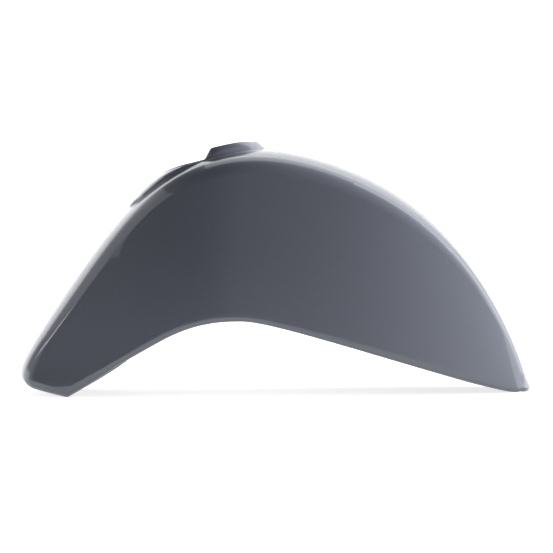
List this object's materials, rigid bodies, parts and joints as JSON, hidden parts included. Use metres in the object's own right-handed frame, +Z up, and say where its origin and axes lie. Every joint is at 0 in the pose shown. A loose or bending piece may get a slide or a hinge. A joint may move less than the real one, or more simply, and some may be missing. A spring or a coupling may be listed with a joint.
{
  "type": "scooter front mudguard",
  "caption": "One-piece front mudguard of a scooter: a deep moulded shell with a wheel arch, a pointed nose, a rolled tail edge and an oval collar for the steering stem.",
  "frame": {"origin": "centre of the bounding box on the floor that the tail and the nose stand on", "axes": "+X towards the nose, +Y to the left, +Z up; the part is symmetric about the XZ plane"},
  "size_m": [0.5682, 0.166, 0.2794],
  "materials": {
    "painted_shell": "gloss bluish grey paint with clear coat"
  },
  "bodies": {
    "root": {"mudguard_shell": "painted_shell"}
  },
  "joints": []
}
